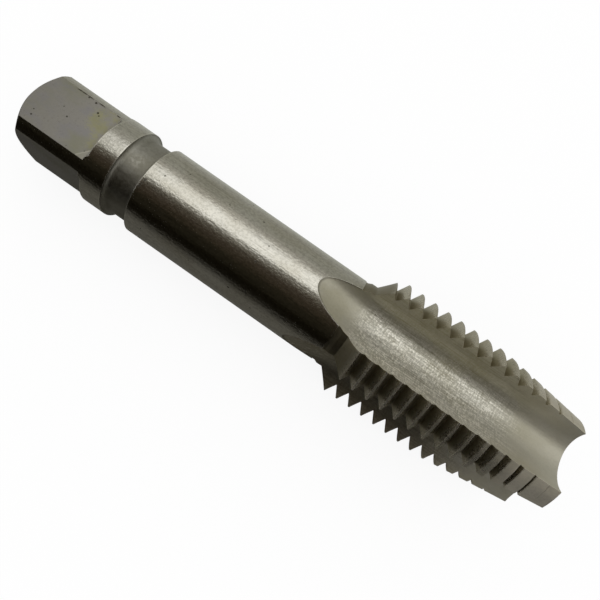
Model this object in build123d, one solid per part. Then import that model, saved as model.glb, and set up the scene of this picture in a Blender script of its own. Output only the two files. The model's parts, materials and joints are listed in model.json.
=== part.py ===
from build123d import *
import os
from math import acos, atan2, ceil, cos, degrees, radians, sin, sqrt, tan

# Hand tap for an M36 x 4 right-hand thread, with a reduced shank and a driving square.
# It is modelled upright on the Z axis, square end at zero, and laid down at the end.

# Whole tool
overall_length = 162.0
shank_diameter = 25.0

# Driving square, milled on the end of the shank
across_flats = 20.0
square_length = 24.8
square_corner_radius = 0.8
end_face_diameter = 12.4
end_crown_length = 4.9
end_crown_radius = 60.0

# Small facet left by a second milling pass at the inner corner of one flat
facet_length = 3.1
facet_width = 4.5
facet_tilt = 5.0

# Plain collar and ring groove between the square and the ground shank
collar_length = 6.3
ring_groove_length = 7.65
ring_groove_depth = 1.5
ring_groove_corner_radius = 1.2

# Grinding relief and unground neck behind the thread
relief_depth = 0.2
relief_width = 0.7
neck_step = 0.3
neck_taper_length = 1.0
neck_length = 1.6
back_cone_angle = 50.0

# Thread, measured back from the tip
thread_major = 36.0
thread_pitch = 4.0
thread_crest_flat = 0.4
thread_root_flat = 0.14
thread_flank_angle = 30.0
thread_length = 56.44
first_groove_lead = 1.34
lead_length = 25.0
tip_diameter = 29.2

# Flutes
flute_count = 4
flute_half_angle = 30.0
web_diameter = 14.2
heel_radius = 11.1
toe_radius = 6.05
hook_angle = 14.5
flute_full_depth_length = 49.7
flute_cutter_radius = 57.0

# Centre holes at both ends
centre_cone_diameter = 8.5
centre_pilot_diameter = 4.0
centre_pilot_depth = 9.0
centre_cone_angle = 30.0

# Distance by which cutting tools overrun the metal they remove
overrun = 2.0
thread_overrun = 0.2

# Sizes that follow from those above
shank_radius = shank_diameter / 2
collar_end = square_length + collar_length
ground_shank_start = collar_end + ring_groove_length
neck_radius = shank_radius + neck_step
major_radius = thread_major / 2
flank_slope = tan(radians(thread_flank_angle))
thread_depth = (thread_pitch - thread_crest_flat - thread_root_flat) / 2 / flank_slope
thread_start = overall_length - thread_length
back_cone_start = thread_start - (major_radius - neck_radius) / tan(radians(back_cone_angle))
neck_start = back_cone_start - neck_length
relief_end = neck_start - neck_taper_length
ground_shank_end = relief_end - relief_width
lead_start = overall_length - lead_length
lead_slope = (thread_major - tip_diameter) / 2 / lead_length
groove_start = thread_start - first_groove_lead
groove_end = lead_start + thread_depth / lead_slope
groove_turns = ceil((groove_end - groove_start) / thread_pitch)
flute_full_depth_start = overall_length - flute_full_depth_length


def blank():
    """Turned blank with its collar, ring groove, shank, back cone and lead."""
    groove_radius = shank_radius - ring_groove_depth
    corner = ring_groove_corner_radius
    relief_radius = shank_radius - relief_depth
    end_face = Line((0, 0), (end_face_diameter / 2, 0))
    crown = RadiusArc((end_face_diameter / 2, 0), (shank_radius, end_crown_length), -end_crown_radius)
    square_and_collar = Polyline(
        (shank_radius, end_crown_length),
        (shank_radius, collar_end),
        (groove_radius + corner, collar_end),
    )
    collar_corner = RadiusArc(
        (groove_radius + corner, collar_end),
        (groove_radius, collar_end + corner),
        corner,
    )
    groove_floor = Line(
        (groove_radius, collar_end + corner),
        (groove_radius, ground_shank_start - corner),
    )
    shank_corner = RadiusArc(
        (groove_radius, ground_shank_start - corner),
        (groove_radius + corner, ground_shank_start),
        corner,
    )
    cutting_end = Polyline(
        (groove_radius + corner, ground_shank_start),
        (shank_radius, ground_shank_start),
        (shank_radius, ground_shank_end),
        (relief_radius, ground_shank_end),
        (relief_radius, relief_end),
        (neck_radius, neck_start),
        (neck_radius, back_cone_start),
        (major_radius, thread_start),
        (major_radius, lead_start),
        (tip_diameter / 2, overall_length),
        (0, overall_length),
        (0, 0),
    )
    outline = end_face + crown + square_and_collar + collar_corner + groove_floor
    outline += shank_corner + cutting_end
    return revolve(Plane.XZ * make_face(outline), Axis.Z)


def thread_groove_turn():
    """One turn of the helical V groove, which starts and ends in a flute."""
    root_radius = major_radius - thread_depth
    top_radius = major_radius + thread_overrun
    top_width = thread_pitch - thread_crest_flat + 2 * thread_overrun * flank_slope
    section = Polyline(
        (root_radius, -thread_root_flat / 2),
        (top_radius, -top_width / 2),
        (top_radius, top_width / 2),
        (root_radius, thread_root_flat / 2),
        (root_radius, -thread_root_flat / 2),
    )
    turn = Helix(thread_pitch, thread_pitch, major_radius)
    return sweep(Plane.XZ * make_face(section), path=turn, is_frenet=True)


def flute_section():
    """Section of one flute, with its centreline on +X and its cutting face below it."""
    edge_x = major_radius * cos(radians(flute_half_angle))
    edge_y = major_radius * sin(radians(flute_half_angle))
    heel_edge = Vector(edge_x, edge_y)
    cutting_edge = Vector(edge_x, -edge_y)

    # The heel arc passes through the heel edge and touches the web.
    web_radius = web_diameter / 2
    centre_distance = web_radius + heel_radius
    cosine = (major_radius**2 + centre_distance**2 - heel_radius**2) / (2 * major_radius * centre_distance)
    heel_angle = radians(flute_half_angle) - acos(cosine)
    heel_centre = Vector(centre_distance * cos(heel_angle), centre_distance * sin(heel_angle))

    # The toe arc touches the straight cutting face and the inside of the heel arc.
    face_angle = radians(flute_half_angle - hook_angle)
    face_inward = Vector(-cos(face_angle), sin(face_angle))
    face_normal = Vector(sin(face_angle), cos(face_angle))
    offset = cutting_edge + face_normal * toe_radius - heel_centre
    along = offset.dot(face_inward)
    reach = sqrt(along**2 - offset.dot(offset) + (heel_radius - toe_radius) ** 2)
    face_end = cutting_edge + face_inward * (reach - along)
    toe_centre = face_end + face_normal * toe_radius
    junction_way = (toe_centre - heel_centre).normalized()
    junction = heel_centre + junction_way * heel_radius
    toe_middle = toe_centre + (junction_way - face_normal).normalized() * toe_radius
    heel_way = (heel_edge - heel_centre).normalized()
    heel_middle = heel_centre + (junction_way + heel_way).normalized() * heel_radius

    # Both sides run straight out past the thread crests.
    outside_x = major_radius + overrun
    face_outside = cutting_edge - face_inward * (outside_x - edge_x)
    heel_outside = heel_edge + Vector(outside_x - edge_x, outside_x - edge_x)
    outline = Line(face_outside, face_end)
    outline += ThreePointArc(face_end, toe_middle, junction)
    outline += ThreePointArc(junction, heel_middle, heel_edge)
    outline += Polyline(heel_edge, heel_outside, face_outside)
    return make_face(outline)


def flute_cutter():
    """Straight flute that rises out of the shank on the radius of its milling cutter."""
    section = Pos(0, 0, flute_full_depth_start) * flute_section()
    straight = extrude(section, flute_full_depth_length + overrun, dir=(0, 0, 1))
    cutter_axis_x = web_diameter / 2 + flute_cutter_radius
    cutter_axis = Axis((cutter_axis_x, 0, flute_full_depth_start), (0, -1, 0))
    rise = shank_radius + overrun - web_diameter / 2
    swing = degrees(acos(1 - rise / flute_cutter_radius))
    run_out = revolve(section, cutter_axis, revolution_arc=swing)
    return straight + run_out


def flat_cutter():
    """Cutter for the flat on the +X side, with a rounded inner corner."""
    flat = across_flats / 2
    outside = shank_radius + overrun
    corner = square_corner_radius
    outline = Polyline(
        (flat, square_length - corner),
        (flat, -overrun),
        (outside, -overrun),
        (outside, square_length),
        (flat + corner, square_length),
    )
    outline += RadiusArc((flat + corner, square_length), (flat, square_length - corner), corner)
    return extrude(Plane.XZ * make_face(outline), outside, both=True)


def facet_cutter():
    """Shallow wedge at the inner corner of the flat on the -X side."""
    half_flat_width = sqrt(shank_radius**2 - (across_flats / 2) ** 2)
    edge_point = Vector(-across_flats / 2, -half_flat_width, square_length - facet_length)
    inner_point = Vector(-across_flats / 2, facet_width - half_flat_width, square_length)
    crease = (inner_point - edge_point).normalized()
    surface = Plane(edge_point, x_dir=crease, z_dir=(-1, 0, 0)).rotated((-facet_tilt, 0, 0))
    size = shank_diameter
    wedge = surface * Pos(0, size / 2, size / 2) * Box(size, size, size)
    reach = Pos(0, 0, square_length / 2) * Cylinder(shank_diameter, square_length)
    return wedge & reach


def centre_hole():
    """Centre hole that opens at zero and runs up the Z axis."""
    cone_radius = centre_cone_diameter / 2
    pilot_radius = centre_pilot_diameter / 2
    cone_depth = (cone_radius - pilot_radius) / tan(radians(centre_cone_angle))
    outline = Polyline(
        (0, 0),
        (cone_radius, 0),
        (pilot_radius, cone_depth),
        (pilot_radius, centre_pilot_depth),
        (0, centre_pilot_depth + pilot_radius * tan(radians(centre_cone_angle))),
        (0, 0),
    )
    return revolve(Plane.XZ * make_face(outline), Axis.Z)


def upright_tap():
    """The finished tap, standing on its square end."""
    tap = blank()
    for index in range(flute_count):
        tap -= Rot(0, 0, index * 360 / flute_count) * flute_cutter()
        tap -= Rot(0, 0, index * 360 / flute_count) * flat_cutter()
    for index in range(groove_turns):
        tap -= Pos(0, 0, groove_start + index * thread_pitch) * thread_groove_turn()
    tap -= facet_cutter()
    tap -= centre_hole()
    tap -= Pos(0, 0, overall_length) * Rot(180, 0, 0) * centre_hole()
    return tap


def laid_down(tap):
    """Lay the tap along +X with a flute downwards, on two lands and the collar's edge."""
    land_drop = major_radius * cos(radians(flute_half_angle))
    contact_span = thread_start - square_length
    rest_tilt = degrees(atan2(land_drop - shank_radius, contact_span))
    lying = Rot(0, 90 - rest_tilt, 0) * tap
    box = lying.bounding_box()
    middle = box.center()
    return Pos(-middle.X, -middle.Y, -box.min.Z) * lying


os.makedirs("parts", exist_ok=True)
export_step(laid_down(upright_tap()), "parts/thread_tap.step")
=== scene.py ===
"""Studio scene of a straight-fluted hand tap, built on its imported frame."""

from __future__ import annotations

import json
import logging
import math
from dataclasses import dataclass
from enum import Enum
from typing import Any, Union

import bmesh
import bpy
from mathutils import Matrix, Vector

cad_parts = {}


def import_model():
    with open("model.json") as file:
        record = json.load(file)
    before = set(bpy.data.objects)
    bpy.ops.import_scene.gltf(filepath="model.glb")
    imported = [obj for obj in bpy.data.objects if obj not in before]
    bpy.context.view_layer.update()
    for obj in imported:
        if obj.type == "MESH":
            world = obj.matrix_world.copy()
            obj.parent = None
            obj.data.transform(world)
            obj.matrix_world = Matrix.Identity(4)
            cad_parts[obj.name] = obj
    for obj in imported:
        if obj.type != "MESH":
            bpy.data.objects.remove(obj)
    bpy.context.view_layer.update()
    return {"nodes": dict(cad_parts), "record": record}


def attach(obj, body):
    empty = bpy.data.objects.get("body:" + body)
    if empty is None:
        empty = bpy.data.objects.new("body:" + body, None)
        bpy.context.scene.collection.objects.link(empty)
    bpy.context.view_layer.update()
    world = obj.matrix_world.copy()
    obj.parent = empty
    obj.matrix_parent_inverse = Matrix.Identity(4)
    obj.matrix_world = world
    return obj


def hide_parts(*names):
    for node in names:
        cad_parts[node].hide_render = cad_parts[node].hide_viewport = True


logger = logging.getLogger("thread_tap")

MM = 0.001
NODE = "thread_tap"
BODY = "root"
EDGE_SAMPLES = 6

Colour = tuple[float, float, float, float]
Triple = tuple[float, float, float]
Span = tuple[float, float]
Stops = tuple[tuple[float, Triple], ...]
Operand = Union["Term", float]

WHITE: Colour = (1.0, 1.0, 1.0, 1.0)


# ---------------------------------------------------------------------------
# Sizes and the tool's own frame
# ---------------------------------------------------------------------------


@dataclass(frozen=True)
class TapSizes:
    """Sizes of the tap in millimetres, measured from its square end and its axis."""

    overall_length: float = 162.0
    shank_radius: float = 12.5

    # Driving square, with the small facet at an inner corner of its upper flat
    across_flats: float = 20.0
    square_length: float = 24.8
    square_corner_radius: float = 0.8
    crown_length: float = 4.9
    facet_length: float = 3.1
    facet_width: float = 4.5

    # Collar, ground shank and thread
    collar_end: float = 31.1
    shank_start: float = 38.75
    shank_end: float = 97.9
    thread_start: float = 105.56
    thread_radius: float = 18.0
    tip_radius: float = 14.6
    lead_length: float = 25.0

    # Flutes, with their angles in degrees
    flute_count: int = 4
    web_radius: float = 7.1
    heel_radius: float = 11.1
    toe_radius: float = 6.05
    flute_half_angle: float = 30.0
    hook_angle: float = 14.5
    flute_full_depth: float = 112.3
    flute_cutter_radius: float = 57.0

    @property
    def flat_up(self) -> float:
        """How far a flat lies from the axis."""
        return self.across_flats / 2

    @property
    def flat_half_width(self) -> float:
        """Half the width of a flat."""
        return math.sqrt(self.shank_radius**2 - self.flat_up**2)

    @property
    def facet_start(self) -> float:
        """Where the facet begins on the flat's edge."""
        return self.square_length - self.facet_length

    @property
    def lead_start(self) -> float:
        """Where the thread begins to taper towards the tip."""
        return self.overall_length - self.lead_length

    @property
    def lead_slope(self) -> float:
        """How much the radius shrinks for each millimetre of the lead."""
        return (self.thread_radius - self.tip_radius) / self.lead_length


TAP = TapSizes()


@dataclass(frozen=True)
class ToolFrame:
    """The tap's own frame: the centre of its square end, and the ways along, above and beside it."""

    origin: Vector
    along: Vector
    above: Vector
    beside: Vector

    @classmethod
    def from_record(cls, record: dict[str, Any], sizes: TapSizes) -> ToolFrame:
        """Read the axis from the driving square's mount, which lies halfway along the square.

        Args:
            record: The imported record.
            sizes: The tap's sizes.

        Returns:
            The frame with its origin in the centre of the square end.
        """
        mount = next(m for m in record["mounts"] if m["name"] == "driving_square")
        along = -Vector(mount["axis"]).normalized()
        beside = Vector((0.0, 1.0, 0.0))
        above = along.cross(beside).normalized()
        origin = Vector(mount["pos_m"]) - along * sizes.square_length / 2 * MM
        return cls(origin, along, above, beside)

    @property
    def tilt(self) -> float:
        """The angle by which the axis rises towards the tip, in radians."""
        return math.atan2(self.along.z, self.along.x)

    def local(self, point: Vector) -> Vector:
        """Return a place as height along the axis, sideways and upward distance, in millimetres."""
        return self.turn(point - self.origin) / MM

    def turn(self, way: Vector) -> Vector:
        """Return a direction in the tool's own frame."""
        return Vector((way.dot(self.along), way.dot(self.beside), way.dot(self.above)))


# ---------------------------------------------------------------------------
# Shader building
# ---------------------------------------------------------------------------


class Term:
    """A shader value that takes part in ordinary arithmetic."""

    def __init__(self, graph: Graph, socket: bpy.types.NodeSocket) -> None:
        """Wrap an output socket of one of a graph's nodes."""
        self.graph = graph
        self.socket = socket

    def __add__(self, other: Operand) -> Term:
        """Return the sum."""
        return self.graph.maths("ADD", self, other)

    __radd__ = __add__

    def __sub__(self, other: Operand) -> Term:
        """Return the difference."""
        return self.graph.maths("SUBTRACT", self, other)

    def __rsub__(self, other: Operand) -> Term:
        """Return a number less this value."""
        return self.graph.maths("SUBTRACT", other, self)

    def __mul__(self, other: Operand) -> Term:
        """Return the product."""
        return self.graph.maths("MULTIPLY", self, other)

    __rmul__ = __mul__

    def __abs__(self) -> Term:
        """Return the size of the value."""
        return self.graph.maths("ABSOLUTE", self)

    def most(self, other: Operand) -> Term:
        """Return the larger of this value and another."""
        return self.graph.maths("MAXIMUM", self, other)

    def rise(self, low: float, high: float) -> Term:
        """Return a mask over this value.

        Args:
            low: The value up to which the mask is 0.
            high: The value from which it is 1.

        Returns:
            The mask, which rises softly between the two.
        """
        return self.graph.node(
            "ShaderNodeMapRange",
            {"Value": self, "From Min": low, "From Max": high},
            interpolation_type="SMOOTHSTEP",
        )

    def fall(self, low: float, high: float) -> Term:
        """Return a mask that falls softly from 1 at low to 0 at high."""
        return 1 - self.rise(low, high)

    def sibling(self, name: str) -> Term:
        """Return another output of the same node."""
        return Term(self.graph, self.socket.node.outputs[name])


class Graph:
    """The node tree of one material."""

    def __init__(self, name: str) -> None:
        """Start an empty material.

        Args:
            name: The material's name.
        """
        self.material = bpy.data.materials.new(name)
        self.material.use_nodes = True
        self.tree = self.material.node_tree
        self.tree.nodes.clear()
        self.out = self.tree.nodes.new("ShaderNodeOutputMaterial").inputs["Surface"]

    def node(
        self,
        kind: str,
        sockets: dict[str | int, Any] | None = None,
        output: str | int = 0,
        stops: list[tuple[float, Colour]] | None = None,
        **settings: Any,
    ) -> Term:
        """Add a node, with its settings set before its sockets.

        Args:
            kind: The node's type.
            sockets: Values or terms of its input sockets, by name or place.
            output: The output socket that is wanted, by name or place.
            stops: Places on a ramp in order, each with its colour.
            **settings: The node's other properties.

        Returns:
            The wanted output.
        """
        made = self.tree.nodes.new(kind)
        for key, value in settings.items():
            setattr(made, key, value)
        for index, (position, tint) in enumerate(stops or []):
            elements = made.color_ramp.elements
            stop = elements[index] if index < len(elements) else elements.new(position)
            stop.position = position
            stop.color = tint
        for key, value in (sockets or {}).items():
            if isinstance(value, Term):
                self.tree.links.new(value.socket, made.inputs[key])
            else:
                made.inputs[key].default_value = value
        return Term(self, made.outputs[output])

    def maths(self, operation: str, *values: Operand) -> Term:
        """Return the result of a Math node."""
        return self.node("ShaderNodeMath", dict(enumerate(values)), operation=operation)

    def vectors(self, operation: str, *values: Any, output: str = "Vector") -> Term:
        """Return the result of a Vector Math node."""
        return self.node("ShaderNodeVectorMath", dict(enumerate(values)), output, operation=operation)

    def blend(self, factor: Operand, first: Any, second: Any) -> Term:
        """Mix two colours.

        Args:
            factor: How much of the second one shows.
            first: The colour at a factor of 0.
            second: The colour at a factor of 1.

        Returns:
            The mixed colour.
        """
        # Of a Mix node's many sockets, inputs 6 and 7 and output 2 are those for colours.
        sockets = {"Factor": factor, 6: first, 7: second}
        return self.node("ShaderNodeMix", sockets, output=2, data_type="RGBA")

    def surface(self, shader: Term) -> bpy.types.Material:
        """Finish the material with a shader and return it."""
        self.tree.links.new(shader.socket, self.out)
        return self.material


@dataclass(frozen=True)
class Pattern:
    """A noise pattern that runs over the steel.

    Attributes:
        scale: Cycles per millimetre along, beside and above the axis.
        detail: How many finer layers it has.
        roughness: How strong the finer layers are.
        patches: The noise at which its patches begin, and at which they are full.
    """

    scale: Triple
    detail: float = 2.0
    roughness: float = 0.5
    patches: Span = (0.0, 1.0)


@dataclass(frozen=True)
class Tint:
    """A colour that lies over the steel, and how much of it shows where it is thickest."""

    colour: Colour
    share: float

    def over(self, base: Term, mask: Term) -> Term:
        """Return a colour with this one laid over it where the mask says."""
        return base.graph.blend(self.share * mask, base, self.colour)


class Place:
    """Where a point lies on the tap, in millimetres, and the patterns that run over it."""

    def __init__(self, graph: Graph, tool: ToolFrame) -> None:
        """Turn Object coordinates into the tool's own frame.

        Args:
            graph: The material's graph.
            tool: The tap's own frame.
        """
        self.graph = graph
        self.vector = graph.node(
            "ShaderNodeMapping",
            {
                "Vector": graph.node("ShaderNodeTexCoord", output="Object"),
                "Location": tool.local(Vector((0.0, 0.0, 0.0))),
                "Rotation": (0.0, tool.tilt, 0.0),
                "Scale": (1 / MM, 1 / MM, 1 / MM),
            },
        )
        self.height = graph.node("ShaderNodeSeparateXYZ", {0: self.vector}, output="X")
        self.side = self.height.sibling("Y")
        self.up = self.height.sibling("Z")

    def radius(self) -> Term:
        """Return the distance from the axis."""
        return self.graph.maths("SQRT", self.side * self.side + self.up * self.up)

    def distance(self, spot: Triple) -> Term:
        """Return the distance from a spot given as its height, side and up."""
        return self.graph.vectors("DISTANCE", self.vector, spot, output="Value")

    def noise(self, pattern: Pattern) -> Term:
        """Return the noise of a pattern.

        Args:
            pattern: The pattern.

        Returns:
            Its noise, from 0 to 1.
        """
        return self.graph.node(
            "ShaderNodeTexNoise",
            {
                "Vector": self.graph.vectors("MULTIPLY", self.vector, pattern.scale),
                "Scale": 1.0,
                "Detail": pattern.detail,
                "Roughness": pattern.roughness,
            },
        )

    def sway(self, pattern: Pattern) -> Term:
        """Return the noise of a pattern to both sides of nothing, from -0.5 to 0.5."""
        return self.noise(pattern) - 0.5

    def mask(self, pattern: Pattern) -> Term:
        """Return the mask of a pattern's patches."""
        return self.noise(pattern).rise(*pattern.patches)


# ---------------------------------------------------------------------------
# Finishes
# ---------------------------------------------------------------------------

OLIVE: Colour = (0.30, 0.27, 0.15, 1.0)
BROWN_OIL: Colour = (0.20, 0.155, 0.085, 1.0)
# Dark old oil; the same colour is also the painted shade in the milled flats' inner corner
DARK_OIL_AND_SHADE: Colour = (0.035, 0.028, 0.016, 1.0)
# This bright colour is laid on real scratches and scuffs, and also as the painted highlight on the ground
# steel's rims
BRIGHT_STEEL_AND_HIGHLIGHT: Colour = (0.85, 0.82, 0.75, 1.0)


@dataclass(frozen=True)
class Mark:
    """A small round mark: its height, side and up in millimetres, and its radius."""

    height: float
    side: float
    up: float
    radius: float


@dataclass(frozen=True)
class SteelFinish:
    """Bare tool steel: what all the finishes share.

    Attributes:
        name: The material's name.
        colour: Colour of the clean metal.
        film: Colour where a thin film of old oil lies on it.
        film_share: How much of the film's colour its thickest patches show.
        roughness: Roughness of the clean metal.
        edge_radius: Radius of the broken edges in millimetres.
        grain: How much darker the pores between the glittering grains are.
        texture_depth: How deep the texture is, in millimetres.
        clouds: The soft patches in which the oil film lies.
        speckle: The fine glitter of cut metal.
        pores: The speckle below which a pore is full, and above which there is none.
        even_share: Share of the roughness that is the same all over.
        cloud_share: Share of the roughness that the film's patches add.
        speckle_share: Share of the roughness that the speckle adds.
        core: Share of a mark's or a pinhole's radius within which it is darkest.
        ragged_rim: What makes the rim of a mark ragged.
    """

    name: str
    colour: Colour
    film: Colour
    film_share: float
    roughness: float
    edge_radius: float
    grain: float = 0.2
    texture_depth: float = 0.003
    clouds: Pattern = Pattern((0.09, 0.16, 0.16), detail=4.0, patches=(0.38, 0.68))
    speckle: Pattern = Pattern((1.3, 1.5, 1.5), detail=3.0, roughness=0.7)
    pores: Span = (0.36, 0.58)
    even_share: float = 0.47
    cloud_share: float = 0.22
    speckle_share: float = 0.9
    core: float = 0.5
    ragged_rim: Pattern = Pattern((2.2, 2.2, 2.2))

    def pinholes(self, place: Place, spacing: float, radius: float) -> Term:
        """Scatter pinholes over the steel.

        Args:
            place: Where on the tap.
            spacing: Distance between their centres in millimetres.
            radius: Radius of a pinhole in millimetres.

        Returns:
            A mask that is 1 in a pinhole.
        """
        cells = place.graph.node("ShaderNodeTexVoronoi", {"Vector": place.vector, "Scale": 1 / spacing})
        return cells.fall(self.core * radius / spacing, radius / spacing)

    def marks(self, place: Place, marks: tuple[Mark, ...]) -> Term:
        """Draw single marks with ragged rims.

        Args:
            place: Where on the tap.
            marks: The marks.

        Returns:
            A mask that is 1 in a mark.
        """
        ragged = place.sway(self.ragged_rim)
        drawn: Operand = 0.0
        for mark in marks:
            ring = place.distance((mark.height, mark.side, mark.up)) + ragged * mark.radius
            drawn = ring.fall(self.core * mark.radius, mark.radius).most(drawn)
        return drawn

    def texture(self, place: Place) -> Term:
        """Return the height of the texture, from 0 to 1."""
        return place.noise(self.speckle)

    def dress(self, place: Place, colour: Term, rough: Term) -> tuple[Term, Term]:
        """Add what only this finish has to the colour and the roughness."""
        return colour, rough

    def dullness(self, place: Place) -> Operand:
        """Return how much of the bare metal a dull film hides, from 0 to 1."""
        return 0.0

    def material(self, tool: ToolFrame) -> bpy.types.Material:
        """Build the finish.

        Args:
            tool: The tap's own frame.

        Returns:
            The material.
        """
        graph = Graph(self.name)
        place = Place(graph, tool)
        clouds, speckle = place.mask(self.clouds), place.noise(self.speckle)
        colour = graph.blend(self.film_share * clouds, self.colour, self.film)
        colour = Tint(DARK_OIL_AND_SHADE, self.grain).over(colour, speckle.fall(*self.pores))
        uneven = self.cloud_share * clouds + self.speckle_share * speckle
        colour, rough = self.dress(place, colour, self.roughness * (self.even_share + uneven))
        edge = graph.node("ShaderNodeBevel", {"Radius": self.edge_radius * MM}, samples=EDGE_SAMPLES)
        normal = graph.node(
            "ShaderNodeBump",
            {"Height": self.texture(place), "Distance": self.texture_depth * MM, "Normal": edge},
        )
        shader = graph.node(
            "ShaderNodeBsdfPrincipled",
            {
                "Base Color": colour,
                "Metallic": 1 - self.dullness(place),
                "Roughness": rough,
                "Normal": normal,
            },
        )
        return graph.surface(shader)


@dataclass(frozen=True)
class GroundSteel(SteelFinish):
    """Ground steel: faint lengthwise waves and glitter, a few pinholes, and a painted highlight on its rims.
    """

    name: str = "ground_steel"
    colour: Colour = (0.655, 0.635, 0.575, 1.0)
    film: Colour = (0.55, 0.52, 0.44, 1.0)
    film_share: float = 0.6
    roughness: float = 0.17
    edge_radius: float = 0.25
    texture_depth: float = 0.08
    waves: Pattern = Pattern((0.04, 0.9, 0.9), detail=3.0, roughness=0.6)
    glitter: Pattern = Pattern((1.1, 1.3, 1.3), roughness=0.7)
    wave_share: float = 0.35

    # Oil in the lengthwise lines
    lines: Pattern = Pattern((0.05, 2.2, 2.2), detail=3.0, roughness=0.65, patches=(0.5, 0.66))
    line_oil: Tint = Tint(DARK_OIL_AND_SHADE, 0.17)

    # Pinholes and chips, full of oil
    hole_spacing: float = 4.6
    hole_radius: float = 0.3
    chips: tuple[Mark, ...] = (
        Mark(39.6, -3.2, 12.1, 0.55),
        Mark(39.2, -5.0, 11.4, 0.5),
        Mark(39.5, -4.3, 11.7, 0.35),
        Mark(42.8, 0.4, 12.5, 0.3),
        Mark(59.3, 4.2, 11.8, 0.25),
        Mark(68.4, 6.0, 11.0, 0.35),
        Mark(73.2, 0.9, 12.5, 0.25),
        Mark(70.3, -11.4, 5.2, 0.35),
        Mark(77.6, -12.0, 3.4, 0.3),
        Mark(43.8, -11.8, 4.3, 0.3),
    )
    spot_oil: Tint = Tint(DARK_OIL_AND_SHADE, 0.7)
    spot_dulling: float = 0.3

    # Scratches beside a flute's run-out, round the line on which the two meet
    scuffs: Pattern = Pattern((0.5, 1.6, 2.6), detail=5.0, roughness=0.75, patches=(0.52, 0.62))
    scratch_side: float = -10.9
    scratch_up: float = 5.6
    scratch_reach: Span = (1.0, 3.2)
    scratch_start: Span = (84.0, 89.0)
    # The scratches' bright colour, which is also laid on the rims as a painted highlight
    scratch_and_highlight: Tint = Tint(BRIGHT_STEEL_AND_HIGHLIGHT, 0.7)
    scratch_dulling: float = 0.35

    # Rims of the collar and the shank, painted bright in ragged patches as a highlight on their edges
    rim_inset: float = 0.15
    rims: Triple = (TAP.square_length + rim_inset, TAP.collar_end - rim_inset, TAP.shank_start + rim_inset)
    rim_width: float = 0.25
    rim_highlight_breaks: Pattern = Pattern((0.8, 0.8, 0.8), detail=3.0, patches=(0.3, 0.55))
    rim_share: float = 0.8

    def texture(self, place: Place) -> Term:
        """Return faint lengthwise waves with glitter on them."""
        return self.wave_share * place.noise(self.waves) + (1 - self.wave_share) * place.noise(self.glitter)

    def dress(self, place: Place, colour: Term, rough: Term) -> tuple[Term, Term]:
        """Add the oil lines, pinholes and chips, the scratches and the painted highlight on the rims.

        Args:
            place: Where on the tap.
            colour: Colour of the plain steel.
            rough: Roughness of the plain steel.

        Returns:
            The colour and the roughness with them.
        """
        colour = self.line_oil.over(colour, place.mask(self.lines))
        spots = self.pinholes(place, self.hole_spacing, self.hole_radius).most(self.marks(place, self.chips))
        colour = self.spot_oil.over(colour, spots)

        beside = abs(place.side - self.scratch_side) + abs(place.up - self.scratch_up)
        near = beside.fall(*self.scratch_reach) * place.height.rise(*self.scratch_start)
        bright = near * place.mask(self.scuffs)
        rough = rough + self.spot_dulling * spots + self.scratch_dulling * bright

        # Painted highlight: the rims of the collar and the shank are painted bright in ragged patches
        rim_highlight = self.rim_share * place.mask(self.rim_highlight_breaks)
        for rim in self.rims:
            bright = bright.most(rim_highlight * abs(place.height - rim).fall(0.0, self.rim_width))
        return self.scratch_and_highlight.over(colour, bright), rough


@dataclass(frozen=True)
class TurnedSteel(SteelFinish):
    """Turned, unground steel: duller, with tool rings and a smudge in the ring groove."""

    name: str = "turned_steel"
    colour: Colour = (0.40, 0.39, 0.35, 1.0)
    film: Colour = (0.30, 0.285, 0.23, 1.0)
    film_share: float = 0.7
    roughness: float = 0.47
    edge_radius: float = 0.15
    texture_depth: float = 0.012
    rings: Pattern = Pattern((1.6, 0.08, 0.08), detail=3.0)
    ring_share: float = 0.5
    smudge_spot: Triple = (34.5, 0.0, 11.0)
    smudge_reach: Span = (1.04, 2.6)
    mottle: Pattern = Pattern((1.1, 1.1, 1.1), detail=3.0, roughness=0.6, patches=(0.46, 0.6))
    smudge: Tint = Tint((0.62, 0.60, 0.54, 1.0), 0.3)
    smudge_polish: float = 0.05

    def texture(self, place: Place) -> Term:
        """Return tool rings with a coarse grain."""
        return self.ring_share * place.noise(self.rings) + (1 - self.ring_share) * place.noise(self.speckle)

    def dress(self, place: Place, colour: Term, rough: Term) -> tuple[Term, Term]:
        """Add the smudge on top of the ring groove."""
        smudged = place.distance(self.smudge_spot).fall(*self.smudge_reach) * place.mask(self.mottle)
        return self.smudge.over(colour, smudged), rough - self.smudge_polish * smudged


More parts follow.
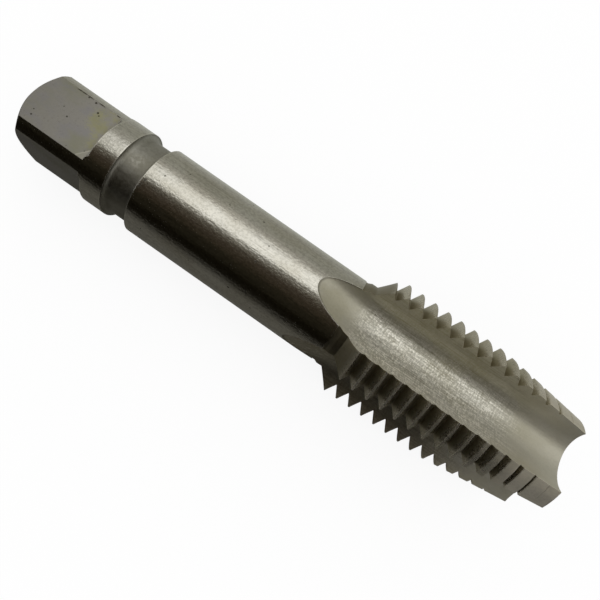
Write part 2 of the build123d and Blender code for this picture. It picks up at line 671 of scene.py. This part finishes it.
@dataclass(frozen=True)
class MilledSteel(SteelFinish):
    """Milled flats: satin steel with pits, an olive stain and dark burrs along one edge."""

    name: str = "milled_steel"
    colour: Colour = (0.30, 0.285, 0.265, 1.0)
    film: Colour = (0.275, 0.27, 0.205, 1.0)
    film_share: float = 0.8
    roughness: float = 0.35
    edge_radius: float = 0.15
    grain: float = 0.06
    texture_depth: float = 0.008
    cutter_marks: Pattern = Pattern((0.9, 0.12, 0.12), detail=3.0)
    cutter_share: float = 0.4

    # Purplish tarnish in large patches
    tarnish: Pattern = Pattern((0.11, 0.2, 0.2), detail=5.0, roughness=0.6, patches=(0.46, 0.62))
    tarnished: Tint = Tint((0.265, 0.255, 0.27, 1.0), 0.55)

    # Dried oil, and painted shade in the inner corner by the collar, both with a ragged border
    ragged: Pattern = Pattern((0.45, 0.45, 0.45), detail=5.0, roughness=0.7, patches=(0.34, 0.62))
    stains: tuple[Mark, ...] = (
        Mark(20.6, 3.4, TAP.flat_up, 4.4),
        Mark(23.4, 0.6, TAP.flat_up, 3.6),
        Mark(23.6, -2.4, TAP.flat_up, 2.6),
        Mark(21.8, 5.6, TAP.flat_up, 3.0),
    )
    stained: Tint = Tint((0.36, 0.345, 0.20, 1.0), 0.75)
    stain_dulling: float = 0.12
    corner_shade_start: Span = (22.0, 24.4)
    corner_shade_sway: float = 1.5
    corner_shade: Tint = Tint(DARK_OIL_AND_SHADE, 0.25)

    # Painted light: the facet is painted a little lighter than its flat, and the crease between them gets a
    # painted highlight
    upper: Span = (9.0, 9.4)
    facet_edge: Span = (0.0, 0.15)
    facet_along: Span = (TAP.facet_start - 0.2, TAP.facet_start)
    facet: Tint = Tint((0.42, 0.40, 0.34, 1.0), 0.3)
    crease_width: Span = (0.1, 0.4)
    crease: Tint = Tint((0.75, 0.72, 0.62, 1.0), 0.3)

    # Pits, pinholes and a broken row of burrs, full of oil
    pits: tuple[Mark, ...] = (
        Mark(6.7, -5.4, TAP.flat_up, 0.3),
        Mark(6.2, -3.9, TAP.flat_up, 0.22),
        Mark(13.4, -0.6, TAP.flat_up, 0.3),
        Mark(18.3, 4.9, TAP.flat_up, 0.36),
        Mark(16.1, 6.9, TAP.flat_up, 0.4),
        Mark(13.8, 7.0, TAP.flat_up, 0.25),
        Mark(19.0, 4.4, TAP.flat_up, 0.25),
        Mark(11.0, 1.2, TAP.flat_up, 0.2),
    )
    hole_spacing: float = 3.1
    hole_radius: float = 0.24
    burr_side: float = TAP.flat_half_width - 0.15
    burr_width: float = 0.32
    burr_breaks: Pattern = Pattern((0.55, 0.9, 0.9), detail=3.0, patches=(0.5, 0.6))
    spot_oil: Tint = Tint(DARK_OIL_AND_SHADE, 0.85)
    spot_dulling: float = 0.25

    def texture(self, place: Place) -> Term:
        """Return faint cutter marks across the flats."""
        marks, grain = place.noise(self.cutter_marks), place.noise(self.speckle)
        return self.cutter_share * marks + (1 - self.cutter_share) * grain

    def dress(self, place: Place, colour: Term, rough: Term) -> tuple[Term, Term]:
        """Add the tarnish and the stains, the painted shade in the inner corner, the facet's painted light,
        and the pits and burrs.

        Args:
            place: Where on the tap.
            colour: Colour of the plain steel.
            rough: Roughness of the plain steel.

        Returns:
            The colour and the roughness with them.
        """
        colour = self.tarnished.over(colour, place.mask(self.tarnish))
        stain = self.marks(place, self.stains) * place.mask(self.ragged)
        colour = self.stained.over(colour, stain)

        # How far a point of the upper flat lies past the facet's slanting crease
        climb = (place.height - TAP.facet_start) * (TAP.facet_width / TAP.facet_length)
        past = climb - (place.side + TAP.flat_half_width)
        upper = place.up.rise(*self.upper)
        facet = past.rise(*self.facet_edge) * upper
        crease = abs(past).fall(*self.crease_width) * upper
        along = place.height.rise(*self.facet_along)
        # Painted shade: the flat turns darker towards the collar in its inner corner, but not on the facet
        corner = (place.height + self.corner_shade_sway * place.sway(self.ragged)).rise(*self.corner_shade_start)
        colour = self.corner_shade.over(colour, corner * (1 - facet))
        # Painted light on the facet, and a painted highlight on its crease
        colour = self.facet.over(colour, facet * along)
        colour = self.crease.over(colour, crease * along)

        burrs = abs(place.side - self.burr_side).fall(0.0, self.burr_width) * place.mask(self.burr_breaks)
        spots = self.marks(place, self.pits).most(burrs)
        spots = spots.most(self.pinholes(place, self.hole_spacing, self.hole_radius))
        rough = rough + self.stain_dulling * stain + self.spot_dulling * spots
        return self.spot_oil.over(colour, spots), rough


@dataclass(frozen=True)
class FlutedSteel(SteelFinish):
    """Flutes: dull steel drawn lengthwise, with painted glints where the chips have rubbed it."""

    name: str = "fluted_steel"
    colour: Colour = (0.58, 0.56, 0.49, 1.0)
    film: Colour = (0.44, 0.41, 0.30, 1.0)
    film_share: float = 0.55
    roughness: float = 0.43
    edge_radius: float = 0.1
    grain: float = 0.1
    texture_depth: float = 0.16
    plain_depth: float = 0.25

    # Lengthwise lines, crossed by the cutter's chatter, and glitter on both
    drawn: Pattern = Pattern((0.14, 2.5, 2.5), roughness=0.6)
    chatter: Pattern = Pattern((2.5, 0.4, 0.4), roughness=0.6)
    glitter: Pattern = Pattern((2.1, 2.1, 2.1), roughness=0.8)
    drawn_share: float = 0.34
    chatter_share: float = 0.26
    glitter_share: float = 0.4

    # Where the chips rub: from the run-out on and away from the heel, most in the upper flute
    rubbed_start: Span = (98.5, 104.5)
    rubbed_end: Span = (138.0, 152.0)
    rubbed_border: Pattern = Pattern((0.3, 0.5, 0.5), detail=3.0)
    rubbed_sway: float = 5.0
    spared_heel: Span = (3.0, 8.0)
    spared_share: float = 0.8
    lower_share: float = 0.4
    upper_start: Span = (1.0, 5.0)
    upper_slope: float = 0.5

    # The rubbed steel's grains: bright ones painted near white as glints, and dark ones
    bright_weave: Span = (0.47, 0.6)
    bright: Tint = Tint((0.98, 0.95, 0.86, 1.0), 0.85)
    bright_polish: float = 0.12
    pore_weave: Span = (0.39, 0.49)
    plain_pores: float = 0.12
    rubbed_pores: float = 0.48
    pore: Tint = Tint((0.2, 0.18, 0.12, 1.0), 0.6)
    dark_lines: Pattern = Pattern((0.07, 2.4, 2.4), detail=3.0, roughness=0.6, patches=(0.52, 0.64))
    dark_line: Tint = Tint((0.16, 0.145, 0.09, 1.0), 0.35)

    # Oil and wear
    run_out: Span = (98.0, 107.0)
    run_out_oil: Tint = Tint(OLIVE, 0.2)
    tip: Span = (132.0, 156.0)
    tip_tint: Tint = Tint((0.47, 0.44, 0.335, 1.0), 0.4)
    heel: Span = (2.0, 7.0)
    heel_oil: Tint = Tint(OLIVE, 0.5)
    lower_oil: Tint = Tint(BROWN_OIL, 0.36)
    scuffs: Pattern = Pattern((0.5, 1.4, 2.2), detail=5.0, roughness=0.75, patches=(0.53, 0.63))
    scuffed: Tint = Tint(BRIGHT_STEEL_AND_HIGHLIGHT, 0.5)
    rim: Span = (TAP.shank_radius - 0.35, TAP.shank_radius - 0.1)
    rim_end: Span = (97.0, 98.0)
    rim_oil: Tint = Tint(DARK_OIL_AND_SHADE, 0.5)

    # Dust that hides the metal, and wear that dulls it
    dust_share: float = 0.17
    toe_dust_share: float = 0.1
    toe: Span = (-1.0, -6.0)
    dull_share: float = 0.02
    worn_share: float = 0.22
    worn_start: Span = (126.0, 156.0)

    def upper(self, place: Place) -> Term:
        """Return where a flute lies open upwards, so that chips and dust stay in it."""
        return (place.up - self.upper_slope * abs(place.side)).rise(*self.upper_start)

    def rubbed(self, place: Place) -> Term:
        """Say where the chips have rubbed the flutes.

        Args:
            place: Where on the tap.

        Returns:
            A mask with ragged borders.
        """
        # The far border is twice as ragged as the near one, and the one at the heel half as ragged.
        ragged = self.rubbed_sway * place.sway(self.rubbed_border)
        along = (place.height + ragged).rise(*self.rubbed_start)
        along = along * (place.height + 2 * ragged).fall(*self.rubbed_end)
        heel = 1 - self.spared_share * (place.side + ragged * 0.5).rise(*self.spared_heel)
        return along * heel * (self.lower_share + (1 - self.lower_share) * self.upper(place))

    def weave(self, place: Place) -> Term:
        """Return the crossed lines and the glitter on them, from 0 to 1."""
        lines = self.drawn_share * place.noise(self.drawn) + self.chatter_share * place.noise(self.chatter)
        return lines + self.glitter_share * place.noise(self.glitter)

    def texture(self, place: Place) -> Term:
        """Return the crossed lines, deepest where the chips have rubbed."""
        return (self.plain_depth + (1 - self.plain_depth) * self.rubbed(place)) * self.weave(place)

    def grained(self, place: Place, colour: Term) -> tuple[Term, Term]:
        """Add the painted glints and the dark grains of the weave.

        Args:
            place: Where on the tap.
            colour: Colour of the plain steel.

        Returns:
            The colour with them, and the mask of the painted glints.
        """
        weave, rubbed = self.weave(place), self.rubbed(place)
        # Painted highlight: the bright grains are glints painted near white into the colour
        bright = rubbed * weave.rise(*self.bright_weave)
        pores = (self.plain_pores + self.rubbed_pores * rubbed) * weave.fall(*self.pore_weave)
        return self.pore.over(self.bright.over(colour, bright), pores), bright

    def dress(self, place: Place, colour: Term, rough: Term) -> tuple[Term, Term]:
        """Add the grains with their painted glints, the dark lines, the oil, the scuffs and the wear towards
        the tip.

        Args:
            place: Where on the tap.
            colour: Colour of the plain steel.
            rough: Roughness of the plain steel.

        Returns:
            The colour and the roughness with them.
        """
        run_out, tip = place.height.fall(*self.run_out), place.height.rise(*self.tip)
        upper = self.upper(place)
        colour = self.run_out_oil.over(colour, run_out)
        colour = self.tip_tint.over(colour, tip)
        colour, bright = self.grained(place, colour)

        lines = place.mask(self.dark_lines) * place.height.rise(*self.rubbed_start)
        colour = self.dark_line.over(colour, lines * (1 - tip))
        colour = self.heel_oil.over(colour, place.side.rise(*self.heel) * upper * (1 - tip))
        colour = self.lower_oil.over(colour, (1 - upper) * (1 - tip))
        colour = self.scuffed.over(colour, place.mask(self.scuffs) * (1 - upper) * run_out)
        rim = place.radius().rise(*self.rim) * place.height.fall(*self.rim_end)
        return self.rim_oil.over(colour, rim), rough - self.bright_polish * bright

    def dullness(self, place: Place) -> Operand:
        """Return the dust in the upper flute, and the dull wear towards the tip."""
        dust = (self.dust_share + self.toe_dust_share * place.side.rise(*self.toe)) * self.upper(place)
        return dust.most(self.dull_share + self.worn_share * place.height.rise(*self.worn_start))


@dataclass(frozen=True)
class ThreadedSteel(SteelFinish):
    """Thread and back cone: bright on the crests, with old oil down in the grooves."""

    name: str = "threaded_steel"
    colour: Colour = (0.59, 0.55, 0.455, 1.0)
    film: Colour = (0.48, 0.44, 0.32, 1.0)
    film_share: float = 0.6
    roughness: float = 0.25
    edge_radius: float = 0.18

    # Oil, by its depth below the crests, and on the cone behind the thread
    oily_depth: Span = (0.2, 2.6)
    groove_oil: Tint = Tint(OLIVE, 0.45)
    root_oil: Tint = Tint(BROWN_OIL, 0.3)
    oil_dulling: float = 0.12
    cone_end: Span = (TAP.thread_start - 1.5, TAP.thread_start)
    cone_oil: Tint = Tint(DARK_OIL_AND_SHADE, 0.35)

    # Worn crests, most on the lead
    crest_depth: Span = (0.12, 0.35)
    worn_start: Span = (142.0, 152.0)
    least_worn: float = 0.3
    worn_crest: Tint = Tint((0.70, 0.65, 0.54, 1.0), 0.45)
    worn_dulling: float = 0.1
    dull_share: float = 0.02
    worn_share: float = 0.17

    def depth(self, place: Place) -> Term:
        """Return how far a point lies below the crests, in millimetres."""
        taper = (place.height - TAP.lead_start).most(0.0) * TAP.lead_slope
        return TAP.thread_radius - taper - place.radius()

    def worn(self, place: Place) -> Term:
        """Return the mask of the worn crests, which are dullest on the lead."""
        lead = self.least_worn + (1 - self.least_worn) * place.height.rise(*self.worn_start)
        return self.depth(place).fall(*self.crest_depth) * lead

    def dress(self, place: Place, colour: Term, rough: Term) -> tuple[Term, Term]:
        """Add the oil in the grooves and on the cone, and the worn crests.

        Args:
            place: Where on the tap.
            colour: Colour of the plain steel.
            rough: Roughness of the plain steel.

        Returns:
            The colour and the roughness with them.
        """
        deep, worn = self.depth(place).rise(*self.oily_depth), self.worn(place)
        colour = self.groove_oil.over(colour, deep)
        colour = self.root_oil.over(colour, deep * deep)
        colour = self.cone_oil.over(colour, place.height.fall(*self.cone_end))
        rough = rough + self.oil_dulling * deep + self.worn_dulling * worn
        return self.worn_crest.over(colour, worn), rough

    def dullness(self, place: Place) -> Operand:
        """Return the dull wear of the crests, over a thin film all over."""
        return self.dull_share + self.worn_share * self.worn(place)


# ---------------------------------------------------------------------------
# The tap
# ---------------------------------------------------------------------------


class Zone(Enum):
    """The parts of the tap's surface, each with the finish that it was cut to."""

    GROUND = GroundSteel()
    TURNED = TurnedSteel()
    MILLED = MilledSteel()
    FLUTED = FlutedSteel()
    THREADED = ThreadedSteel()

    @property
    def slot(self) -> int:
        """The place of its material on the mesh."""
        return list(Zone).index(self)


@dataclass
class FluteSection:
    """The section of one flute, which tells a flute's faces from the rest.

    Attributes:
        sizes: The tap's sizes.
        tolerance: How far from the section a face may lie, in millimetres.
        overlap: How far past the ends of the straight cutting face one may lie.
        least_facing: Least agreement of its normal with the section's, as a cosine.
    """

    sizes: TapSizes
    tolerance: float = 0.08
    overlap: float = 0.5
    least_facing: float = 0.5

    def __post_init__(self) -> None:
        """Work out the heel arc, the straight cutting face and the toe arc that touches both."""
        size = self.sizes
        half = math.radians(size.flute_half_angle)
        reach = size.web_radius + size.heel_radius
        cosine = (size.thread_radius**2 + reach**2 - size.heel_radius**2) / (2 * size.thread_radius * reach)
        turn = half - math.acos(cosine)
        self.heel = Vector((math.cos(turn), math.sin(turn))) * reach
        self.cutting_edge = Vector((math.cos(half), -math.sin(half))) * size.thread_radius
        slope = half - math.radians(size.hook_angle)
        self.face_way = Vector((-math.cos(slope), math.sin(slope)))
        self.face_normal = Vector((math.sin(slope), math.cos(slope)))
        offset = self.cutting_edge + self.face_normal * size.toe_radius - self.heel
        along = offset.dot(self.face_way)
        gap = size.heel_radius - size.toe_radius
        self.face_length = math.sqrt(along**2 - offset.length_squared + gap**2) - along
        self.toe = self.cutting_edge + self.face_way * self.face_length + self.face_normal * size.toe_radius

    def holds(self, point: Vector, normal: Vector) -> bool:
        """Tell whether a face lies on the wall of one of the flutes.

        Args:
            point: The face's middle as height, side and up, in millimetres.
            normal: Its normal in the same frame.

        Returns:
            True if it does.
        """
        # Turn the face into the nearest flute's own section, whose centreline is its x axis.
        size = self.sizes
        step = math.tau / size.flute_count
        angle = math.atan2(-point.y, point.z)
        centreline = round(angle / step) * step
        angle -= centreline
        facing = Vector((
            normal.z * math.cos(centreline) - normal.y * math.sin(centreline),
            -normal.z * math.sin(centreline) - normal.y * math.cos(centreline),
        ))

        # On the run-out, swing it along the milling cutter's circle to the full depth.
        radius = math.hypot(point.y, point.z)
        cutter = size.web_radius + size.flute_cutter_radius
        drop = max(0.0, size.flute_full_depth - point.x)
        spot = Vector((
            cutter - math.hypot(cutter - radius * math.cos(angle), drop),
            radius * math.sin(angle),
        ))
        for centre, arc_radius in ((self.heel, size.heel_radius), (self.toe, size.toe_radius)):
            inward = centre - spot
            near = abs(inward.length - arc_radius) < self.tolerance
            if near and facing.dot(inward.normalized()) > self.least_facing:
                return True
        offset = spot - self.cutting_edge
        near = abs(offset.dot(self.face_normal)) < self.tolerance
        between = -self.overlap < offset.dot(self.face_way) < self.face_length + self.overlap
        return near and between and facing.dot(self.face_normal) > self.least_facing


@dataclass
class ThreadTap:
    """The tap itself: one piece of steel, with a finish for each way it was cut.

    Attributes:
        sizes: The tap's sizes.
        tool: The tap's own frame.
        sharp_angle: Angle in degrees from which an edge is left sharp.
        crease_angle: The same on the milled flats, whose facet is nearly level with its flat.
        merge_distance: Distance in millimetres within which the mesh's corners are joined.
        wall_tolerance: How far from the shank's radius a face of it may lie, in millimetres.
        step_tolerance: How far past the shank's end its last faces may lie, in millimetres.
        square_on: Least cosine between a normal and a way that it squarely faces.
        flat_facing: The same for the flats, which takes in the tilted facet.
        run_out_length: More than the flutes' run-outs take of the shank, in millimetres.
        tip_depth: How far back from the tip a face of its flat end may lie, in millimetres.
        bore_radius: More than the centre hole's radius, and less than the web's.
        least_radius: Least radius that a face is given, so that nothing is divided by nothing.
    """

    sizes: TapSizes
    tool: ToolFrame
    sharp_angle: float = 24.0
    crease_angle: float = 2.0
    merge_distance: float = 0.0005
    wall_tolerance: float = 0.06
    step_tolerance: float = 0.05
    square_on: float = 0.99
    flat_facing: float = 0.98
    run_out_length: float = 12.0
    tip_depth: float = 1.0
    bore_radius: float = 7.0
    least_radius: float = 1e-6

    def zone(self, point: Vector, normal: Vector, flute: FluteSection) -> Zone:
        """Say which finish a face has.

        Args:
            point: The face's middle as height, side and up, in millimetres.
            normal: Its normal in the same frame.
            flute: The section of a flute.

        Returns:
            The zone of the surface.
        """
        size = self.sizes
        radius = max(math.hypot(point.y, point.z), self.least_radius)
        if point.x > size.shank_end - self.run_out_length and flute.holds(point, normal):
            return Zone.FLUTED
        if point.x > size.shank_end + self.step_tolerance:
            tip = abs(normal.x) > self.square_on and point.x > size.overall_length - self.tip_depth
            return Zone.TURNED if tip or radius < self.bore_radius else Zone.THREADED
        outward = (normal.y * point.y + normal.z * point.z) / radius
        on_shank = outward > self.square_on and abs(radius - size.shank_radius) < self.wall_tolerance
        if on_shank and point.x > size.crown_length:
            return Zone.GROUND
        flat = max(abs(normal.y), abs(normal.z)) > self.flat_facing
        corner = point.x > size.square_length - size.square_corner_radius
        inside = point.x < size.square_length and radius < size.shank_radius - self.wall_tolerance
        return Zone.MILLED if inside and (flat or corner) else Zone.TURNED

    def shape(self, node: bpy.types.Object) -> bpy.types.Mesh:
        """Copy and merge the frame's mesh, and sort its faces by finish.

        Args:
            node: The CAD node.

        Returns:
            The mesh, smooth but for the edges of the real tool.
        """
        flute = FluteSection(self.sizes)
        bm = bmesh.new()
        bm.from_mesh(node.data)
        bmesh.ops.remove_doubles(bm, verts=bm.verts, dist=self.merge_distance * MM)
        for face in bm.faces:
            face.smooth = True
            middle, normal = self.tool.local(face.calc_center_median()), self.tool.turn(face.normal)
            face.material_index = self.zone(middle, normal, flute).slot
        for edge in bm.edges:
            slots = {face.material_index for face in edge.link_faces}
            limit = self.crease_angle if slots == {Zone.MILLED.slot} else self.sharp_angle
            level = len(edge.link_faces) == 2 and edge.calc_face_angle(0.0) < math.radians(limit)
            edge.smooth = level and len(slots) == 1
        mesh = bpy.data.meshes.new("tap_body")
        bm.to_mesh(mesh)
        bm.free()
        return mesh

    def build(self, node: bpy.types.Object) -> bpy.types.Object:
        """Make the tap that is shown in place of the frame's node.

        Args:
            node: The CAD node.

        Returns:
            The finished piece.
        """
        mesh = self.shape(node)
        for zone in Zone:
            mesh.materials.append(zone.value.material(self.tool))
        piece = linked("tap_body", mesh)
        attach(piece, BODY)
        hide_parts(NODE)
        return piece


# ---------------------------------------------------------------------------
# Studio
# ---------------------------------------------------------------------------


def linked(name: str, data: bpy.types.ID) -> bpy.types.Object:
    """Make an object of a mesh or a camera.

    Args:
        name: The object's name.
        data: The mesh or the camera.

    Returns:
        The object, linked into the scene.
    """
    thing = bpy.data.objects.new(name, data)
    bpy.context.scene.collection.objects.link(thing)
    return thing


def staged(name: str, bm: bmesh.types.BMesh, material: bpy.types.Material) -> bpy.types.Object:
    """Make an object of the studio from its mesh.

    Args:
        name: The object's name.
        bm: Its mesh, which is freed.
        material: Its material.

    Returns:
        The object, linked into the scene.
    """
    mesh = bpy.data.meshes.new(name)
    bm.to_mesh(mesh)
    bm.free()
    mesh.materials.append(material)
    thing = linked(name, mesh)
    return thing


@dataclass(frozen=True)
class Viewpoint:
    """The camera: where it stands, which way it looks and how it is rolled.

    Attributes:
        place: Where it stands, in millimetres.
        forward: The way it looks.
        roll: How far it is turned about that way, in degrees.
        lens: Focal length in millimetres.
        sensor: Width of the sensor in millimetres.
        nearest: Nearest distance that it sees, in millimetres.
        farthest: Farthest distance that it sees, in millimetres.
    """

    place: Triple = (3.692, -43.481, 139.124)
    forward: Triple = (0.012957, 0.319534, -0.947486)
    roll: float = 37.88
    lens: float = 29.986
    sensor: float = 36.0
    nearest: float = 1.0
    farthest: float = 20000.0

    def build(self) -> bpy.types.Object:
        """Create the camera and make it the scene's own.

        Returns:
            The camera.
        """
        data = bpy.data.cameras.new("camera")
        data.lens = self.lens
        data.sensor_width = self.sensor
        data.clip_start = self.nearest * MM
        data.clip_end = self.farthest * MM
        camera = linked("camera", data)
        level = Vector(self.forward).to_track_quat("-Z", "Y").to_matrix().to_4x4()
        turn = Matrix.Rotation(math.radians(self.roll), 4, "Z")
        camera.matrix_world = Matrix.Translation(Vector(self.place) * MM) @ level @ turn
        bpy.context.scene.camera = camera
        return camera


@dataclass(frozen=True)
class GradedCard:
    """A studio card that only reflections see.

    Attributes:
        name: The card's name.
        stops: Its light at places in order of what measure() counts.
    """

    name: str
    stops: Stops

    def shape(self, bm: bmesh.types.BMesh) -> None:
        """Make the card's mesh."""
        raise NotImplementedError

    def measure(self, side: Term, up: Term) -> Term:
        """Return what the stops are counted in, which is the distance to the side in millimetres."""
        return side

    def light(self, graded: Term, along: Term, measure: Term) -> Term:
        """Return the light that the card gives off."""
        return graded

    def build(self) -> bpy.types.Object:
        """Create the card.

        Returns:
            The card, which only reflections show.
        """
        bm = bmesh.new()
        self.shape(bm)
        graph = Graph(self.name)
        where = graph.node("ShaderNodeTexCoord", output="Object")
        parts = graph.node("ShaderNodeSeparateXYZ", {0: where})
        along, side, up = (parts.sibling(axis) * (1 / MM) for axis in "XYZ")
        measure = self.measure(side, up)
        first, last = self.stops[0][0], self.stops[-1][0]
        length = last - first
        stops = [((at - first) / length, (*tint, 1.0)) for at, tint in self.stops]
        graded = graph.node("ShaderNodeValToRGB", {"Fac": (measure - first) * (1 / length)}, stops=stops)
        light = self.light(graded, along, measure)
        glow = graph.node("ShaderNodeEmission", {"Color": light, "Strength": 1.0})
        card = staged(self.name, bm, graph.surface(glow))
        card.visible_camera = False
        card.visible_diffuse = False
        card.visible_shadow = False
        return card


@dataclass(frozen=True)
class Arch(GradedCard):
    """Arch of soft light over the tap, graded by the angle in degrees from the floor behind it.

    Attributes:
        radius: Radius of the arch in millimetres.
        half_length: Half its length along the tap.
        steps: Number of its flat strips.
        lamp_colour: Its light where the lamp over the tap is dimmed.
        lamp_end: Angles between which the lamp ends.
        lamp_left: Where the lamp begins to dim towards the square, where it is dimmest, and its share.
        lamp_right: The same towards the tip.
        ends: Distances from the middle between which the arch gives way to its evened ends.
        ends_share: Share of its own light that an end keeps.
        ends_light: Light that is added to it.
        left_dark: Angles between which the end past the square turns as dark as the arch's front.
        right_dark: The same past the tip.
    """

    name: str = "light_arch"
    radius: float = 600.0
    half_length: float = 1500.0
    steps: int = 48
    stops: Stops = (
        (0.0, (0.33, 0.33, 0.285)),
        (28.0, (0.34, 0.34, 0.30)),
        (40.0, (0.46, 0.45, 0.41)),
        (50.0, (0.58, 0.57, 0.53)),
        (56.0, (1.12, 1.12, 1.09)),
        (85.0, (1.26, 1.26, 1.22)),
        (93.0, (0.30, 0.29, 0.26)),
        (102.0, (0.11, 0.098, 0.078)),
        (113.0, (0.055, 0.043, 0.032)),
        (126.0, (0.042, 0.033, 0.022)),
        (134.0, (0.019, 0.016, 0.010)),
        (153.0, (0.016, 0.014, 0.009)),
        (158.0, (0.005, 0.004, 0.002)),
        (180.0, (0.006, 0.005, 0.003)),
    )
    lamp_colour: Colour = (0.34, 0.34, 0.30, 1.0)
    lamp_end: Span = (92.0, 97.0)
    lamp_left: Triple = (-250.0, -480.0, 0.8)
    lamp_right: Triple = (60.0, 330.0, 0.45)
    ends: Span = (470.0, 620.0)
    ends_share: float = 0.6
    ends_light: Triple = (0.26, 0.255, 0.23)
    left_dark: Span = (92.0, 112.0)
    right_dark: Span = (140.0, 165.0)

    def shape(self, bm: bmesh.types.BMesh) -> None:
        """Spin a straight edge half round the tap.

        Args:
            bm: The mesh to make it in.
        """
        reach = (-self.half_length, self.half_length)
        ends = [bm.verts.new((along * MM, self.radius * MM, 0.0)) for along in reach]
        edge = bm.edges.new(ends)
        turn = {"axis": (1, 0, 0), "cent": (0, 0, 0), "angle": math.pi, "steps": self.steps}
        bmesh.ops.spin(bm, geom=[*ends, edge], **turn)

    def measure(self, side: Term, up: Term) -> Term:
        """Return the angle round the tap, in degrees."""
        return side.graph.maths("DEGREES", side.graph.maths("ARCTAN2", up, side))

    def light(self, graded: Term, along: Term, measure: Term) -> Term:
        """Dim the lamp away from the middle, and even the arch's ends out but for their dark fronts.

        Args:
            graded: The light by the stops.
            along: Distance along the tap from the middle.
            measure: The angle round the tap.

        Returns:
            The light that the arch gives off.
        """
        graph = graded.graph
        dim: Operand = 0.0
        for near, far, share in (self.lamp_left, self.lamp_right):
            dim = share * along.rise(near, far) + dim
        graded = graph.blend(dim * measure.fall(*self.lamp_end), graded, self.lamp_colour)
        kept = graph.vectors("MULTIPLY", graded, (self.ends_share,) * 3)
        even = graph.vectors("ADD", kept, self.ends_light)
        right = graph.maths("GREATER_THAN", along, 0.0)
        dark = right * measure.rise(*self.right_dark) + (1 - right) * measure.rise(*self.left_dark)
        ends = graph.blend(dark, even, graded)
        return graph.blend(abs(along).rise(*self.ends), graded, ends)


@dataclass(frozen=True)
class ShadedFloorReflection(GradedCard):
    """Painted reflection of the floor under the tap, on a card that only reflections see: painted shade on
    the −Y side and a lit floor on the +Y side, graded by the distance to the side.

    Attributes:
        size: Its side in millimetres.
        lift: How far it lies above the floor.
    """

    name: str = "shaded_floor_reflection"
    size: float = 4000.0
    lift: float = 0.02
    # Painted shade on the −Y side, darkest far out, and painted light on the +Y side
    stops: Stops = (
        (-400.0, (0.008, 0.007, 0.005)),
        (-240.0, (0.024, 0.022, 0.018)),
        (-100.0, (0.066, 0.064, 0.056)),
        (-60.0, (0.095, 0.092, 0.082)),
        (-44.0, (0.115, 0.112, 0.099)),
        (14.0, (0.105, 0.102, 0.09)),
        (24.0, (0.50, 0.51, 0.47)),
        (40.0, (0.43, 0.435, 0.395)),
        (80.0, (0.37, 0.37, 0.335)),
        (200.0, (0.34, 0.34, 0.30)),
    )

    def shape(self, bm: bmesh.types.BMesh) -> None:
        """Lay the card just above the floor."""
        bmesh.ops.create_grid(bm, x_segments=1, y_segments=1, size=self.size / 2 * MM)
        bmesh.ops.translate(bm, verts=bm.verts, vec=(0.0, 0.0, self.lift * MM))


@dataclass(frozen=True)
class Studio:
    """Pale floor and even light, before a white background.

    Attributes:
        floor_size: Side of the floor in millimetres.
        floor_colour: Colour of the floor.
        floor_glow: How much of plain white the floor shows to the eye and in reflections.
        light: Strength of the light from all round.
    """

    floor_size: float = 6000.0
    floor_colour: Colour = (0.97, 0.97, 0.97, 1.0)
    floor_glow: float = 0.88
    light: float = 1.0

    def floor(self) -> bpy.types.Object:
        """Create the floor, which looks white and still takes a shadow.

        Returns:
            The floor.
        """
        bm = bmesh.new()
        bmesh.ops.create_grid(bm, x_segments=1, y_segments=1, size=self.floor_size / 2 * MM)
        graph = Graph("floor")
        path = graph.node("ShaderNodeLightPath", output="Is Camera Ray")
        seen = path + path.sibling("Is Glossy Ray") + path.sibling("Is Transmission Ray")
        matt = graph.node("ShaderNodeBsdfDiffuse", {"Color": self.floor_colour})
        white = graph.node("ShaderNodeEmission", {"Color": WHITE, "Strength": 1.0})
        share = graph.maths("MINIMUM", seen, 1.0) * self.floor_glow
        both = graph.node("ShaderNodeMixShader", {0: share, 1: matt, 2: white})
        return staged("floor", bm, graph.surface(both))

    def world(self) -> None:
        """Light the scene evenly from all round."""
        world = bpy.data.worlds.new("world")
        bpy.context.scene.world = world
        world.use_nodes = True
        background = world.node_tree.nodes["Background"]
        background.inputs["Color"].default_value = WHITE
        background.inputs["Strength"].default_value = self.light

    def build(self) -> list[bpy.types.Object]:
        """Build the whole studio and return its floor and cards."""
        self.world()
        return [self.floor(), Arch().build(), ShadedFloorReflection().build()]


def main() -> None:
    """Load the frame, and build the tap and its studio."""
    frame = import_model()
    bpy.context.scene.view_settings.view_transform = "Standard"
    tool = ToolFrame.from_record(frame["record"], TAP)
    tap = ThreadTap(TAP, tool).build(frame["nodes"][NODE])
    for zone in Zone:
        count = sum(face.material_index == zone.slot for face in tap.data.polygons)
        logger.info("%s: %d faces of %s", tap.name, count, zone.value.name)
    for piece in (*Studio().build(), Viewpoint().build()):
        logger.info("%s: ready", piece.name)


if __name__ == "__main__":
    logging.basicConfig(level=logging.INFO)
    main()
